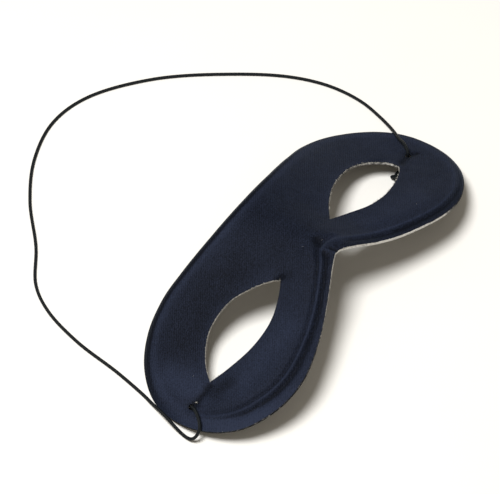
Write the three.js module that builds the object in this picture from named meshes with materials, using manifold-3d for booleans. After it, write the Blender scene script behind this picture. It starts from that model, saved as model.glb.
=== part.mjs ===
// A domino mask: a half mask moulded from one cloth-faced sheet, lying face up on a table,
// with the thin elastic cord that is knotted behind a small hole near each end.
// Millimetres. +X runs along the width, +Y towards the brow edge, +Z up from the table.

import * as THREE from 'three';
import { mergeVertices } from 'three/addons/utils/BufferGeometryUtils.js';
import Module from 'manifold-3d';

// Driving dimensions of the sheet
const HALF_WIDTH = 89;
const HALF_HEIGHT = 36.4;
const SHEET = 1.1;

// The arched form, as heights of the face above the table
const BRIDGE_HEIGHT = 28.28;
const ARCH_FALL = 23.2;
const ARCH_SWEEP = 2.57;
const CHEEK_FLARE = 6.75;
const FLARE_REACH = 0.85;
const DISH = 1.74;
const NOSE_RISE = 5.5;
const NOSE_WIDTH = 15.7;

// Half of the cut outline, from the nose notch round the temple to the middle of the brow, and how
// far off the middle of the pressed form the whole outline is cut
const HALF_OUTLINE = [
  [0, -16.4], [5.5, -18.4], [16, -23.9], [33.8, -32.1], [51.6, -37], [65.4, -35.7], [79, -28], [86.9, -15.6],
  [89.3, 0.2], [85.9, 13.9], [75.8, 26.4], [63.3, 33.7], [50.4, 36.3], [37, 35.6], [19, 33.8], [0, 32.9],
];
const CUT_SHIFT = [0.8, 0.5];

// The pressed rim's rings, from the cut edge inwards: place, and height against the body where the
// rim has a bead with a valley outside it, and where it only rolls off to its edge
const RIM_RINGS = [
  [0, -2.2, -2.2], [2.2, -1.95, -1.1], [3.7, -2.1, -0.6], [4.9, -1.3, -0.3], [5.8, -0.45, -0.25],
  [7, -0.35, -0.2], [8.7, -0.15, -0.1], [11.5, 0, 0],
];
const CREST = 5.8;
const GROOVE_RING = 5;
const GROOVE_DEPTH = 0.8;

// The rim along each half, from the notch (0) to the middle of the brow (0.5) as shares of the whole
// outline: how far in the crest lies, and the strengths of the bead and of the groove inside it
const RIM_STATIONS = {
  1: [
    [0, 4.6, 0.5, 0.6], [0.01, 4.8, 0.1, 0], [0.02, 4.8, 0.7, 0], [0.07, 4.8, 1, 0], [0.12, 4.8, 1, 0],
    [0.15, 4.4, 0.8, 0], [0.17, 4, 0.5, 0], [0.2, 3.6, 0.1, 0], [0.26, 3.6, 0, 0], [0.5, 3.6, 0, 0],
  ],
  '-1': [
    [0, 4.6, 0.5, 0.6], [0.008, 4.5, 1, 1.1], [0.05, 4.6, 1, 0.9], [0.083, 5.5, 1, 0.9],
    [0.115, 6.8, 1, 1.1], [0.146, 7.7, 1, 1.1], [0.172, 8, 0.9, 1.1], [0.203, 7.2, 0.7, 1],
    [0.229, 5.6, 0.25, 0.6], [0.26, 4.5, 0, 0.2], [0.3, 4.1, 0, 0], [0.34, 3.8, 0, 0],
    [0.5, 3.6, 0, 0],
  ],
};
const NOTCH_WIDENING = 0.3;
const NOTCH_REACH = 5;
const PIT_DEPTH = 1.2;
const PIT_REACH = 3;

// Eye holes and cord holes, punched a little off centre: each eye's corners and lids by half
const EYES = {
  1: {
    corners: [[16, -1.9], [66.8, -2.7]],
    upper: [[20, 1.3], [25, 4.9], [35, 9.9], [45, 12.2], [53.5, 12], [60.7, 8.9], [65.3, 3.7], [66.8, 0]],
    lower: [[25, -5.1], [35, -8.8], [45, -9.9], [55.3, -8.3], [62, -6], [65.3, -4.2]],
  },
  '-1': {
    corners: [[19.7, -2.5], [69, -2.9]],
    upper: [[25, 2.9], [30, 6.5], [36.7, 10.1], [45, 11.4], [52.7, 10.3], [60, 6.4], [65, 2.1]],
    lower: [[25, -5.6], [33.3, -8.9], [40, -10.1], [50, -9.5], [60, -6.6]],
  },
};
const LID_ROLL = 0.3;
const CORD_HOLES = [[-81, -2.5], [76.1, -1.6]];
const CORD_HOLE_RADIUS = 1.3;
const CORD_HOLE_SIDES = 12;

// The elastic cord's middle line, from the hole near one end to the hole near the other
const CORD_RADIUS = 0.7;
const CORD_SIDES = 8;
const CORD_STEPS = 80;
const CORD_EVENNESS = 0.45;
const CORD_ROUTE = [
  [-81.8, -2.5, 5.2], [-81.9, -2.6, 6.8], [-82.3, -3.3, 8.5], [-83.1, -4.7, 9.8], [-84.2, -6.6, 10.2],
  [-85.4, -8.5, 9.8], [-86.7, -10.2, 8.8], [-88.2, -11.4, 7.3], [-89.7, -11.6, 5.5], [-90.9, -11, 3.5],
  [-91.6, -9.6, 1.9], [-91.7, -7.3, 1], [-91.4, -4, 1.2], [-90.8, 0.2, 2.3], [-90.2, 3.4, 3],
  [-89, 8.1, 2.7], [-87.7, 13.2, 1.6], [-86.2, 19, 0.9], [-83.9, 34.4, 0.7], [-81.9, 58, 0.7],
  [-77.2, 77.2, 0.7], [-70.1, 89.5, 0.7], [-54.8, 102, 0.7], [-37.5, 119.5, 0.7], [-18.9, 132.2, 0.7],
  [1.7, 138.5, 0.7], [21.4, 135.3, 0.7], [47.7, 117.8, 0.7], [70.9, 91.3, 0.7], [85.3, 69.1, 0.7],
  [91.6, 51.6, 0.7], [92.8, 35.7, 0.7], [90.7, 24.2, 0.8], [87.6, 15.6, 1.9], [81.6, 7.6, 7.1],
  [79, 3.7, 9.8], [77.6, 1.6, 10.6], [76.3, -0.2, 10.2], [75.5, -1.2, 9], [75.3, -1.6, 7.2],
];

// The overhand knots: size of the loops, thickness, how much is left open, and where each lies
const KNOT_RADIUS = 0.65;
const KNOT_SCALE = 0.78;
const KNOT_DEPTH = 0.74;
const KNOT_OPENING = 0.55;
const KNOT_POINTS = 18;
const KNOT_STEPS = 48;
const KNOTS = {
  // Lies flat on the table just inside its hole
  knot_left: {
    centre: [-77.4, -1.7, 1.41], open: [-1, 0, 0], across: [0, -1, 0],
    lead: [[-81.8, -2.5, 4.8], [-81.7, -2.5, 4.2], [-81, -2.6, 3.2], [-80, -2.7, 2.6]],
    tail: [[-80.2, -0.5, 0.7], [-81.8, 0.1, 0.7], [-83.2, 1.2, 0.7]],
  },
  // Lies flat on the table below the corner of the eye hole
  knot_right: {
    centre: [67.2, -1.7, 1.41], open: [1, 0, 0], across: [0, 1, 0],
    lead: [[75.3, -1.6, 6.8], [75.1, -1.6, 5.9], [74, -1.4, 4.3], [72.1, -1.1, 3.1], [70.2, -0.8, 2.5]],
    tail: [[70.2, -2.9, 0.7], [72.2, -3.9, 0.7], [73.6, -5.3, 0.7]],
  },
};

// How finely the sheet is faceted
const OUTLINE_STEPS = 46;
const NOTCH_CROWDING = 1.25;
const BRIDGE_STEPS = 5;
const CORNER_STEP = 4;
const BODY_RINGS = [0.25, 0.5, 0.78, 1];
const WELD = 0.001;

const gauss = (x, width) => Math.exp(-((x / width) ** 2));

// Height of the body's face, before it is set down on the table
function faceHeight(x, y) {
  const across = Math.abs(x) / HALF_WIDTH;
  const up = y / HALF_HEIGHT;
  const arch = (1 - Math.cos(ARCH_SWEEP * across)) / (1 - Math.cos(ARCH_SWEEP));
  const flare = THREE.MathUtils.smoothstep(across, 0, FLARE_REACH);
  const nose = NOSE_RISE * gauss(x, NOSE_WIDTH) * (1 - up);
  return BRIDGE_HEIGHT - ARCH_FALL * arch - CHEEK_FLARE * flare * up + DISH * up * up + nose;
}

function faceNormal(x, y) {
  const h = 0.01;
  const slopeX = (faceHeight(x + h, y) - faceHeight(x - h, y)) / (2 * h);
  const slopeY = (faceHeight(x, y + h) - faceHeight(x, y - h)) / (2 * h);
  return new THREE.Vector3(-slopeX, -slopeY, 1).normalize();
}

const flat = ([x, y]) => new THREE.Vector3(x, y, 0);
const blend = (a, b, t) => a.map((value, i) => THREE.MathUtils.lerp(value, b[i], t));

// Points, inward normals and shares along half of the cut edge, closer together at the notch
function halfEdge() {
  const mirrored = HALF_OUTLINE.slice(1, -1).reverse().map(([x, y]) => [-x, y]);
  const curve = new THREE.CatmullRomCurve3([...HALF_OUTLINE, ...mirrored].map(flat), true);
  const edge = [];
  for (let i = 0; i <= OUTLINE_STEPS; i++) {
    const u = 0.5 * (i / OUTLINE_STEPS) ** NOTCH_CROWDING;
    const point = curve.getPointAt(u);
    const tangent = curve.getTangentAt(u);
    const inward = new THREE.Vector3(-tangent.y, tangent.x, 0);
    if (i === 0 || i === OUTLINE_STEPS) {
      point.x = 0;
      inward.set(0, i === 0 ? 1 : -1, 0);
    }
    edge.push({ point, inward, u });
  }
  return edge;
}

// The rim's crest distance, bead and groove at a share of the whole outline
function rimAt(stations, u) {
  const next = Math.max(1, stations.findIndex(([share]) => share >= u));
  const [from, to] = [stations[next - 1], stations[next]];
  return blend(from, to, (u - from[0]) / (to[0] - from[0])).slice(1);
}

// Rings of one half's rim, each an offset of the cut edge, as [x, y, height against the body]
function rimRings(side) {
  const edge = halfEdge();
  return RIM_RINGS.map(([place, beaded, rolled], ring) => edge.map(({ point, inward, u }) => {
    const [crest, bead, groove] = rimAt(RIM_STATIONS[side], u);
    const near = point.y < 0 ? gauss(point.x, NOTCH_REACH) : 0;
    const distance = place < CREST ? (place * crest) / CREST : crest + place - CREST;
    const spot = point.clone().addScaledVector(inward, distance * (1 + NOTCH_WIDENING * near));
    const pit = point.y < 0 ? PIT_DEPTH * gauss(point.x, PIT_REACH) : 0;
    const sunk = ring === GROOVE_RING ? GROOVE_DEPTH * groove + pit : 0;
    const height = THREE.MathUtils.lerp(rolled, beaded, bead) - sunk;
    return [side * spot.x + CUT_SHIFT[0], spot.y + CUT_SHIFT[1], height];
  }));
}

// The middle line of the bridge, from the brow rim down to the notch rim
function bridgeLine(from, to) {
  const line = [];
  for (let i = 1; i < BRIDGE_STEPS; i++) line.push(blend(from, to, i / BRIDGE_STEPS));
  return line;
}

const planDistance = (a, b) => Math.hypot(a[0] - b[0], a[1] - b[1]);

// One point of the eye's edge for each point of the loop round it, in step with its length
function eyeLoop(loop, side) {
  const { corners: [inner, outer], upper, lower } = EYES[side];
  const lid = (points) => new THREE.CatmullRomCurve3(points.map(([x, y]) => flat([side * x, y])));
  const lowerLid = lid([inner, ...lower, outer]);
  const upperLid = lid([outer, ...[...upper].reverse(), inner]);
  const count = loop.length;
  const start = OUTLINE_STEPS + CORNER_STEP;
  let end = 0;
  for (let k = 0; k < count; k++) if (side * loop[k][0] > side * loop[end][0]) end = k;
  const eye = [];
  const follow = (curve, from, to) => {
    const steps = (to - from + count) % count;
    const along = [0];
    for (let i = 0; i < steps; i++) {
      along.push(along[i] + planDistance(loop[(from + i) % count], loop[(from + i + 1) % count]));
    }
    for (let i = 0; i < steps; i++) {
      const point = curve.getPointAt(along[i] / along[steps]);
      eye[(from + i) % count] = [point.x, point.y, -LID_ROLL];
    }
  };
  follow(lowerLid, start, end);
  follow(upperLid, end, start);
  return eye;
}

// The closed sheet of one half of the mask, side +1 or -1, as a list of triangles
function halfSheet(side, triangles) {
  const rim = rimRings(side);
  const last = rim[rim.length - 1];
  const bridge = bridgeLine(last[OUTLINE_STEPS], last[0]);
  const loop = [...last, ...bridge];
  const eye = eyeLoop(loop, side);
  const body = [loop, ...BODY_RINGS.map((t) => loop.map((p, k) => blend(p, eye[k], t)))];

  const face = ([x, y, height]) => new THREE.Vector3(x, y, faceHeight(x, y) + height);
  const back = (p) => face(p).addScaledVector(faceNormal(p[0], p[1]), -SHEET);
  const triangle = (a, b, c) => triangles.push(...(side > 0 ? [a, b, c] : [a, c, b]));
  const quad = (a, b, c, d) => {
    triangle(a, b, c);
    triangle(a, c, d);
  };
  const strip = (outer, inner, closed) => {
    const count = outer.length;
    for (let k = 0; k < (closed ? count : count - 1); k++) {
      const [a, b, c, d] = [outer[k], outer[(k + 1) % count], inner[(k + 1) % count], inner[k]];
      quad(face(a), face(b), face(c), face(d));
      quad(back(d), back(c), back(b), back(a));
    }
  };
  const wall = (line, closed) => {
    const count = line.length;
    for (let k = 0; k < (closed ? count : count - 1); k++) {
      const [a, b] = [line[k], line[(k + 1) % count]];
      quad(back(a), back(b), face(b), face(a));
    }
  };
  for (let ring = 1; ring < rim.length; ring++) strip(rim[ring - 1], rim[ring], false);
  for (let ring = 1; ring < body.length; ring++) strip(body[ring - 1], body[ring], true);
  wall(rim[0], false);
  wall([...eye].reverse(), true);
}

const wasm = await Module();
wasm.setup();

function solidOf(geometry) {
  const bare = geometry.clone();
  bare.deleteAttribute('normal');
  bare.deleteAttribute('uv');
  const merged = mergeVertices(bare, WELD);
  const vertProperties = Float32Array.from(merged.attributes.position.array);
  const triVerts = Uint32Array.from(merged.index.array);
  return new wasm.Manifold(new wasm.Mesh({ numProp: 3, vertProperties, triVerts }));
}

function geometryFrom(solid) {
  const { vertProperties, triVerts } = solid.getMesh();
  const geometry = new THREE.BufferGeometry();
  geometry.setAttribute('position', new THREE.BufferAttribute(Float32Array.from(vertProperties), 3));
  geometry.setIndex(new THREE.BufferAttribute(Uint32Array.from(triVerts), 1));
  geometry.computeVertexNormals();
  return geometry;
}

function sheetGeometry() {
  const triangles = [];
  halfSheet(1, triangles);
  halfSheet(-1, triangles);
  let sheet = solidOf(new THREE.BufferGeometry().setFromPoints(triangles));
  for (const [x, y] of CORD_HOLES) {
    const punch = new THREE.CylinderGeometry(CORD_HOLE_RADIUS, CORD_HOLE_RADIUS, HALF_HEIGHT, CORD_HOLE_SIDES);
    punch.rotateX(Math.PI / 2).translate(x, y, 0);
    sheet = sheet.subtract(solidOf(punch));
  }
  const geometry = geometryFrom(sheet);
  geometry.computeBoundingBox();
  const { min, max } = geometry.boundingBox;
  geometry.translate(-(min.x + max.x) / 2, -(min.y + max.y) / 2, -min.z);
  return geometry;
}

// A route held up by the table, sampled partly by length and partly by its points, so that
// tight bends get more steps
class Route extends THREE.CatmullRomCurve3 {
  getPoint(t, target) {
    const point = super.getPoint(t, target);
    return point.setZ(Math.max(point.z, CORD_RADIUS));
  }

  share(u) {
    return THREE.MathUtils.lerp(u, this.getUtoTmapping(u), CORD_EVENNESS);
  }

  getPointAt(u, target) {
    return this.getPoint(this.share(u), target);
  }

  getTangentAt(u, target) {
    return this.getTangent(this.share(u), target);
  }
}

function tube(path, radius, steps) {
  const corners = [];
  for (let i = 0; i < CORD_SIDES; i++) {
    const angle = (2 * Math.PI * i) / CORD_SIDES;
    corners.push(new THREE.Vector2(radius * Math.cos(angle), radius * Math.sin(angle)));
  }
  return new THREE.ExtrudeGeometry(new THREE.Shape(corners), { steps, extrudePath: path, bevelEnabled: false });
}

const point3 = ([x, y, z]) => new THREE.Vector3(x, y, z);

// An overhand knot as an opened trefoil, with the lead that goes to the hole and the cut end
function knotGeometry({ centre, open, across, lead, tail }) {
  const side = point3(across);
  const out = point3(open);
  const thick = new THREE.Vector3().crossVectors(side, out);
  const loops = [];
  for (let i = 0; i < KNOT_POINTS; i++) {
    const part = i / (KNOT_POINTS - 1);
    const t = THREE.MathUtils.lerp(Math.PI + KNOT_OPENING, 3 * Math.PI - KNOT_OPENING, part);
    loops.push(point3(centre)
      .addScaledVector(side, KNOT_SCALE * (Math.sin(t) + 2 * Math.sin(2 * t)))
      .addScaledVector(out, KNOT_SCALE * (2 * Math.cos(2 * t) - Math.cos(t)))
      .addScaledVector(thick, KNOT_DEPTH * Math.sin(3 * t)));
  }
  const path = new THREE.CatmullRomCurve3([...lead.map(point3), ...loops, ...tail.map(point3)]);
  return tube(path, KNOT_RADIUS, KNOT_STEPS);
}

const cloth = new THREE.MeshStandardMaterial({ color: 0x23283a, roughness: 0.75, metalness: 0 });
const elastic = new THREE.MeshStandardMaterial({ color: 0x1c1e20, roughness: 0.6, metalness: 0 });

const model = new THREE.Group();

function place(name, geometry, material) {
  const mesh = new THREE.Mesh(geometry, material);
  mesh.name = name;
  model.add(mesh);
}

place('mask', sheetGeometry(), cloth);
place('elastic_cord', tube(new Route(CORD_ROUTE.map(point3)), CORD_RADIUS, CORD_STEPS), elastic);
for (const [name, knot] of Object.entries(KNOTS)) place(name, knotGeometry(knot), elastic);

export default model;
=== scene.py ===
"""Looks of a domino mask: one pressed, cloth-faced sheet that lies face up, and its elastic cord."""

import math
import random

import bmesh
import bpy
import numpy as np
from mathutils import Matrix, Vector, noise


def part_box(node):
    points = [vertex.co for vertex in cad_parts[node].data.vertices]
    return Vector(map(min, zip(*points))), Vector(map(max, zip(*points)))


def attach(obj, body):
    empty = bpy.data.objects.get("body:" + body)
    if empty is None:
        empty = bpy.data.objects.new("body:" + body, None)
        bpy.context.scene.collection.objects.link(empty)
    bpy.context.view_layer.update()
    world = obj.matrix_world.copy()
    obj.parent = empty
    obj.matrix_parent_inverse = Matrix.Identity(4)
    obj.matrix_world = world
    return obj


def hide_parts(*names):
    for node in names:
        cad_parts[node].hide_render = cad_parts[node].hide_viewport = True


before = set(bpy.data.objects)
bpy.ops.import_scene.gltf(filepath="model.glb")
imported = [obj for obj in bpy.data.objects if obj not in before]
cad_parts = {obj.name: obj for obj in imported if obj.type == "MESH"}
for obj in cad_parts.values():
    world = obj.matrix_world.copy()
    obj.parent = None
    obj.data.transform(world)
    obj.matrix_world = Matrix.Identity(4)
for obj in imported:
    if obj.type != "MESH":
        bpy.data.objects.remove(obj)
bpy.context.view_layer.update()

bl_info = {
    "name": "Domino mask",
    "version": (1, 0, 0),
    "blender": (4, 5, 0),
    "location": "3D View > Sidebar > Mask",
    "description": "Builds the cloth sheet, elastic cord and loose fibres of a domino mask",
    "category": "Object",
}

# All shapes are worked out in millimetres and turned to metres when their mesh is made.
MM = 0.001
MASK_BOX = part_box("mask")

# Driving sizes of the pressed sheet, as in the frame
HALF_WIDTH = 89
HALF_HEIGHT = 36.4
SHEET = 1.1
SHEET_ORIGIN = (-0.8, 0.023, 0.14)

# The arched form, as heights of the face above the table
BRIDGE_HEIGHT = 28.28
ARCH_FALL = 23.2
ARCH_SWEEP = 2.57
CHEEK_FLARE = 6.75
FLARE_REACH = 0.85
DISH = 1.74
NOSE_RISE = 5.5
NOSE_WIDTH = 15.7

# Half of the cut outline, from the nose notch round the temple to the middle of the brow, and how
# far off the middle of the pressed form the whole outline is cut
HALF_OUTLINE = [
    (0, -16.4), (5.5, -18.4), (16, -23.9), (33.8, -32.1), (51.6, -37), (65.4, -35.7), (79, -28),
    (86.9, -15.6), (89.3, 0.2), (85.9, 13.9), (75.8, 26.4), (63.3, 33.7), (50.4, 36.3), (37, 35.6),
    (19, 33.8), (0, 32.9),
]
CUT_SHIFT = (0.8, 0.5)

# The pressed rim's section, from the cut edge inwards: place and height against the body. The cheek
# lobes have a bead with a valley outside it, and elsewhere the sheet only rolls off to its edge.
BEADED_RIM = [(0, -2.2), (2.2, -1.95), (3.7, -2.1), (4.9, -1.3), (5.8, -0.45), (7.4, -0.3), (11.5, 0)]
ROLLED_RIM = [(0, -2.2), (2.2, -1.1), (4.6, -0.35), (7.4, -0.15), (11.5, 0)]
CREST = 5.8
STEP_START = 3.7
STEP = CREST - STEP_START
GROOVE = 7
GROOVE_REACH = 1.1
GROOVE_DEPTH = 0.8

# The rim along each half's edge, from the notch (0) to the middle of the brow (0.5) as shares of the
# whole outline: how far in the crest lies, the strengths of bead and groove, the flange's painted light +
# or painted shade - and how far in that reaches
RIM_STATIONS = {
    1: [
        (0, 4.6, 0.5, 0.6, -0.2, 2.2), (0.01, 4.8, 0.1, 0, -0.3, 2.2), (0.02, 4.8, 0.7, 0, -0.4, 2.6),
        (0.07, 4.8, 1, 0, -0.4, 2.9), (0.12, 4.8, 1, 0, -0.4, 2.9), (0.15, 4.4, 0.8, 0, -0.4, 2.6),
        (0.17, 4, 0.5, 0, -0.3, 2.2), (0.2, 3.6, 0.1, 0, -0.1, 2.2), (0.26, 3.6, 0, 0, 0, 2.2),
        (0.4, 3.6, 0, 0, -0.3, 2.2), (0.425, 3.6, 0, 0, -1, 2.6), (0.5, 3.6, 0, 0, -1.6, 2.9),
    ],
    -1: [
        (0, 4.6, 0.5, 0.6, -0.2, 2.2), (0.008, 4.5, 1, 1.1, -0.1, 2.2), (0.05, 4.6, 1, 0.9, -0.1, 2.2),
        (0.083, 5.5, 1, 0.9, 0.1, 2.8), (0.115, 6.8, 1, 1.1, 0.4, 3.2), (0.146, 7.7, 1, 1.1, 1, 4.6),
        (0.172, 8, 0.9, 1.1, 1.7, 5.5), (0.203, 7.2, 0.7, 1, 1.8, 5.5),
        (0.229, 5.6, 0.25, 0.6, 1.3, 4.5), (0.26, 4.5, 0, 0.2, 0.7, 3), (0.3, 4.1, 0, 0, -1, 2.1),
        (0.34, 3.8, 0, 0, -1.7, 2.5), (0.5, 3.6, 0, 0, -1.6, 2.9),
    ],
}
NOTCH_WIDENING = 0.3
NOTCH_REACH = 5
PIT_DEPTH = 1.2
PIT_REACH = 3

# Eye holes and cord holes, punched a little off centre: each eye's corners and lids by half
EYES = {
    1: {
        "corners": [(16, -1.9), (66.8, -2.7)],
        "upper": [
            (20, 1.3), (25, 4.9), (35, 9.9), (45, 12.2), (53.5, 12), (60.7, 8.9), (65.3, 3.7), (66.8, 0),
        ],
        "lower": [(25, -5.1), (35, -8.8), (45, -9.9), (55.3, -8.3), (62, -6), (65.3, -4.2)],
    },
    -1: {
        "corners": [(19.7, -2.5), (69, -2.9)],
        "upper": [(25, 2.9), (30, 6.5), (36.7, 10.1), (45, 11.4), (52.7, 10.3), (60, 6.4), (65, 2.1)],
        "lower": [(25, -5.6), (33.3, -8.9), (40, -10.1), (50, -9.5), (60, -6.6)],
    },
}
LID_ROLL = 0.3
CORD_HOLES = [(-81, -2.5), (76.1, -1.6)]
CORD_HOLE_RADIUS = 1.3

# The elastic cord's middle line, from the hole near one end to the hole near the other
CORD_ROUTE = [
    (-81.8, -2.5, 5.2), (-81.9, -2.6, 6.8), (-82.3, -3.3, 8.5), (-83.1, -4.7, 9.8), (-84.2, -6.6, 10.2),
    (-85.4, -8.5, 9.8), (-86.7, -10.2, 8.8), (-88.2, -11.4, 7.3), (-89.7, -11.6, 5.5), (-90.9, -11, 3.5),
    (-91.6, -9.6, 1.9), (-91.7, -7.3, 1), (-91.4, -4, 1.2), (-90.8, 0.2, 2.3), (-90.2, 3.4, 3),
    (-89, 8.1, 2.7), (-87.7, 13.2, 1.6), (-86.2, 19, 0.9), (-83.9, 34.4, 0.7), (-81.9, 58, 0.7),
    (-77.2, 77.2, 0.7), (-70.1, 89.5, 0.7), (-54.8, 102, 0.7), (-37.5, 119.5, 0.7), (-18.9, 132.2, 0.7),
    (1.7, 138.5, 0.7), (21.4, 135.3, 0.7), (47.7, 117.8, 0.7), (70.9, 91.3, 0.7), (85.3, 69.1, 0.7),
    (91.6, 51.6, 0.7), (92.8, 35.7, 0.7), (90.7, 24.2, 0.8), (87.6, 15.6, 1.9), (81.6, 7.6, 7.1),
    (79, 3.7, 9.8), (77.6, 1.6, 10.6), (76.3, -0.2, 10.2), (75.5, -1.2, 9), (75.3, -1.6, 7.2),
]
CORD_RADIUS = 0.7

# The overhand knots: size of the loops, thickness, how much is left open, where each lies, the way out
# of its opened end and across it, and its stretches to the hole and to the cut end
KNOT_RADIUS = 0.65
KNOT_SCALE = 0.78
KNOT_DEPTH = 0.74
KNOT_OPENING = 0.55
KNOT_POINTS = 18
KNOTS = {
    "knot_left": {
        "centre": (-77.4, -1.7, 1.41), "out": (-1, 0, 0), "side": (0, -1, 0),
        "lead": [(-81.8, -2.5, 4.8), (-81.7, -2.5, 4.2), (-81, -2.6, 3.2), (-80, -2.7, 2.6)],
        "tail": [(-80.2, -0.5, 0.7), (-81.8, 0.1, 0.7), (-83.2, 1.2, 0.7)],
    },
    "knot_right": {
        "centre": (67.2, -1.7, 1.41), "out": (1, 0, 0), "side": (0, 1, 0),
        "lead": [
            (75.3, -1.6, 6.8), (75.1, -1.6, 5.9), (74, -1.4, 4.3), (72.1, -1.1, 3.1), (70.2, -0.8, 2.5),
        ],
        "tail": [(70.2, -2.9, 0.7), (72.2, -3.9, 0.7), (73.6, -5.3, 0.7)],
    },
}

# Painted light + and painted shade - across the rim's section: place, reach and strength
VALLEY_PAINTED_SHADE = (3.7, 1.25, -1.25)
CREST_PAINTED_HIGHLIGHT = (5.9, 0.45, 1.3)
ROLL_PAINTED_LIGHT = (6.1, 1.6, 0.75)
GROOVE_PAINTED_SHADE = (GROOVE, GROOVE_REACH, -0.65)
FLANGE_FADE = 0.5
# How much lighter the cloth is made towards the upper eye rims
EYE_RIM_LIGHTENING = 0.4
# From the rim (0) to the eye (1): where the lightening starts, and how fast the rim's painted light and
# shade fade out
EYE_RIM_LIGHTENING_START = 0.75
RIM_TONE_FADE = 3

# Broad patches of painted light + or painted shade - on the face: start, end, half width and tone
PAINTED_LIGHT_PATCHES = [
    ((-60, 17), (-30, 17), 13, -0.65),
    ((-74, 12), (-74, 0), 7, 1.25),
    ((-64, -15), (-36, -18), 7, 0.8),
    ((28, -17), (52, -20), 8, 0.5),
    ((77, 8), (76, 20), 8, 0.35),
    ((-26, 29), (-14, 30), 5, 0.35),
    ((-4, 4), (4, 22), 17, -0.45),
    ((-65.5, -10.5), (-71.8, -7.5), 3, -1),
]

# Small marks of the pressing: start, end, half width, height in the middle and tone, painted shade - in the
# dents and a painted highlight + on the ridges
CREASES = [
    ((0.4, -6.4), (1.2, -5.6), 1.8, -1.1, -1.6),
    ((-1.9, -9.8), (-0.9, -13), 0.6, 0.4, 1),
    ((-0.9, -13), (0.2, -16.2), 0.6, 0.4, 0.9),
    ((-3.7, -12.4), (-2.5, -11.4), 0.9, -0.3, -1.4),
    ((0.5, -13.2), (1.1, -15.8), 0.6, -0.3, -1.2),
    ((-20.2, -1.6), (-18.8, -2.4), 1, -0.8, -1.8),
    ((-19.4, -2.6), (-16.6, -5), 1.4, -0.2, -0.5),
    ((-70.8, -3.8), (-79, -3.4), 1.6, -0.35, -2),
    ((69.5, -2.6), (74, -2), 1.5, -0.3, -1.1),
    ((61, 9.2), (66.4, 4.6), 1.1, -0.25, -0.5),
    ((77.9, -3), (79.6, -4), 1.2, -0.3, -1.2),
]

# Dimples round the cord holes, with painted shade in them, and ripples all over the face
HOLE_DIMPLE = 0.35
HOLE_DIMPLE_REACH = 2.6
HOLE_PAINTED_SHADE = 1
RIPPLE = 0.14
RIPPLE_LENGTH = 13
RIPPLE_SLICE = 3.7
RIPPLE_FRACTAL = (0.6, 2.1, 3)

# How much of the pale core shows along the lower cut edge: place along x and share
BARE_EDGE = [
    (-89, 0.3), (-82, 0.42), (-50, 0.38), (-24, 0.55), (-14, 0.6), (0, 0.75), (14, 0.75), (20, 0.85),
    (50, 0.75), (62, 0.4), (76, 0.2), (89, 0.05),
]
BARE_BROW = 0.04
BARE_EYES = {1: 0.55, -1: 0.66}

# Where the core shows through the cloth right at the edge: half, edge, from, to (shares), how much
BARE_LIPS = [
    (1, "lower", 0.3, 1, 0.6), (1, "upper", 0.15, 1, 0.42), (-1, "upper", 0, 1, 0.45),
    (1, "rim", 0, 0.05, 0.45), (-1, "rim", 0, 0.05, 0.35), (-1, "rim", 0.05, 0.22, 0.4),
    (1, "rim", 0.045, 0.1, 0.9), (1, "rim", 0.1, 0.13, 0.5),
]

# Frayed stretches of the cut edges: half, edge, start and end as shares of it, fibres and longest. The
# fibres start down to a share of the sheet's thickness, and lean, rise, curl and vary in length at random.
FRAYED = [
    (1, "upper", 0.05, 1, 80, 1.1), (1, "lower", 0.4, 1, 60, 0.9), (-1, "upper", 0, 1, 80, 0.8),
    (-1, "lower", 0.9, 1, 6, 0.9), (-1, "rim", 0, 0.08, 34, 0.8), (1, "rim", 0, 0.045, 30, 1.2),
    (1, "rim", 0.045, 0.2, 8, 0.7),
]
FIBRE_RADIUS = 0.085
FIBRE_TIP = 0.35
FIBRE_CURL = 0.6
FIBRE_ROOTS = {"lower": 0.1, "upper": 0.8, "rim": 0.8}
FIBRE_LEAN = (0.2, 0.9)
FIBRE_RISE = (0.3, 1.3)
FIBRE_LENGTHS = (0.4, 1)
TUFT_RISE = 1.5
TUFT_LENGTHS = (0.5, 1)
LINT_RISE = 0.1
LINT_LENGTHS = (0.2, 0.4)
# A tuft at the near cord hole: place, fibres and longest
TUFT = ((-78.9, -3.3), 7, 1.3)
LINT_PLACES = [(48.2, -24.1), (1.6, -8), (-5, -3), (-70, 5)]

# How finely the sheet is meshed
OUTLINE_STEPS = 230
NOTCH_CROWDING = 1.25
RIM_STEPS = 32
BRIDGE_STEPS = 25
CORNER_STEP = 20
BODY_STEPS = 26
WALL_STEPS = 4
WELD = 0.001

# The cut edge's roughness, with a set start so that it is the same in every run, and the angles that
# the shading keeps as edges
WALL_ROUGHNESS = 0.05
WALL_GRAINS_PER_MM = 1.9
WALL_SEED = 1
SHEET_EDGE_ANGLE = 48
TUBE_EDGE_ANGLE = 50

# How finely the cord, its knots and the punch are meshed
CORD_SIDES = 16
KNOT_RINGS = 160
FIBRE_SIDES = 4
FIBRE_STEPS = 6
PUNCH_SIDES = 28
PUNCH_LENGTH = 30

# The surfaces' patterns: twill angle, sizes in millimetres, and grains per millimetre
TWILL_ANGLE = -36
BACKING_THREAD = 1.1
FUZZ_PER_MM = 2.1
TONE_DOTS_PER_MM = 1.2
MOTTLE_PER_MM = 0.14
FELT_FIBRES_PER_MM = 1.1
STAINS_PER_MM = 0.05
DUST_PER_MM = 0.4
FLOOR_CLOUDS_PER_M = 9.0

# What each pattern and the painted light and shade add to the cloth's tone, and the tones of the deep and
# the light colour
WEAVE_TONE = 0.25
FUZZ_TONE = 1.9
MOTTLE_TONE = 0.35
PAINTED_LIGHT_TONE = 1.0
CLOTH_TONES = (0.67, 2.12)

# Where the bare core starts to show and shows fully, in dots on the face and along the cut, as the sum
# of its share and of the pattern; and what the threads of the back add to its stains
FACE_DOTS = (1.05, 1.3)
CUT_DOTS = (0.95, 1.25)
BACKING_WEAVE_TONE = 0.45

# The braid of the cord: lines round it, how far they swell, and strands that do
BRAID_LINES = 8
BRAID_SWELL = 0.03
BRAID_STRANDS = 4

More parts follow.
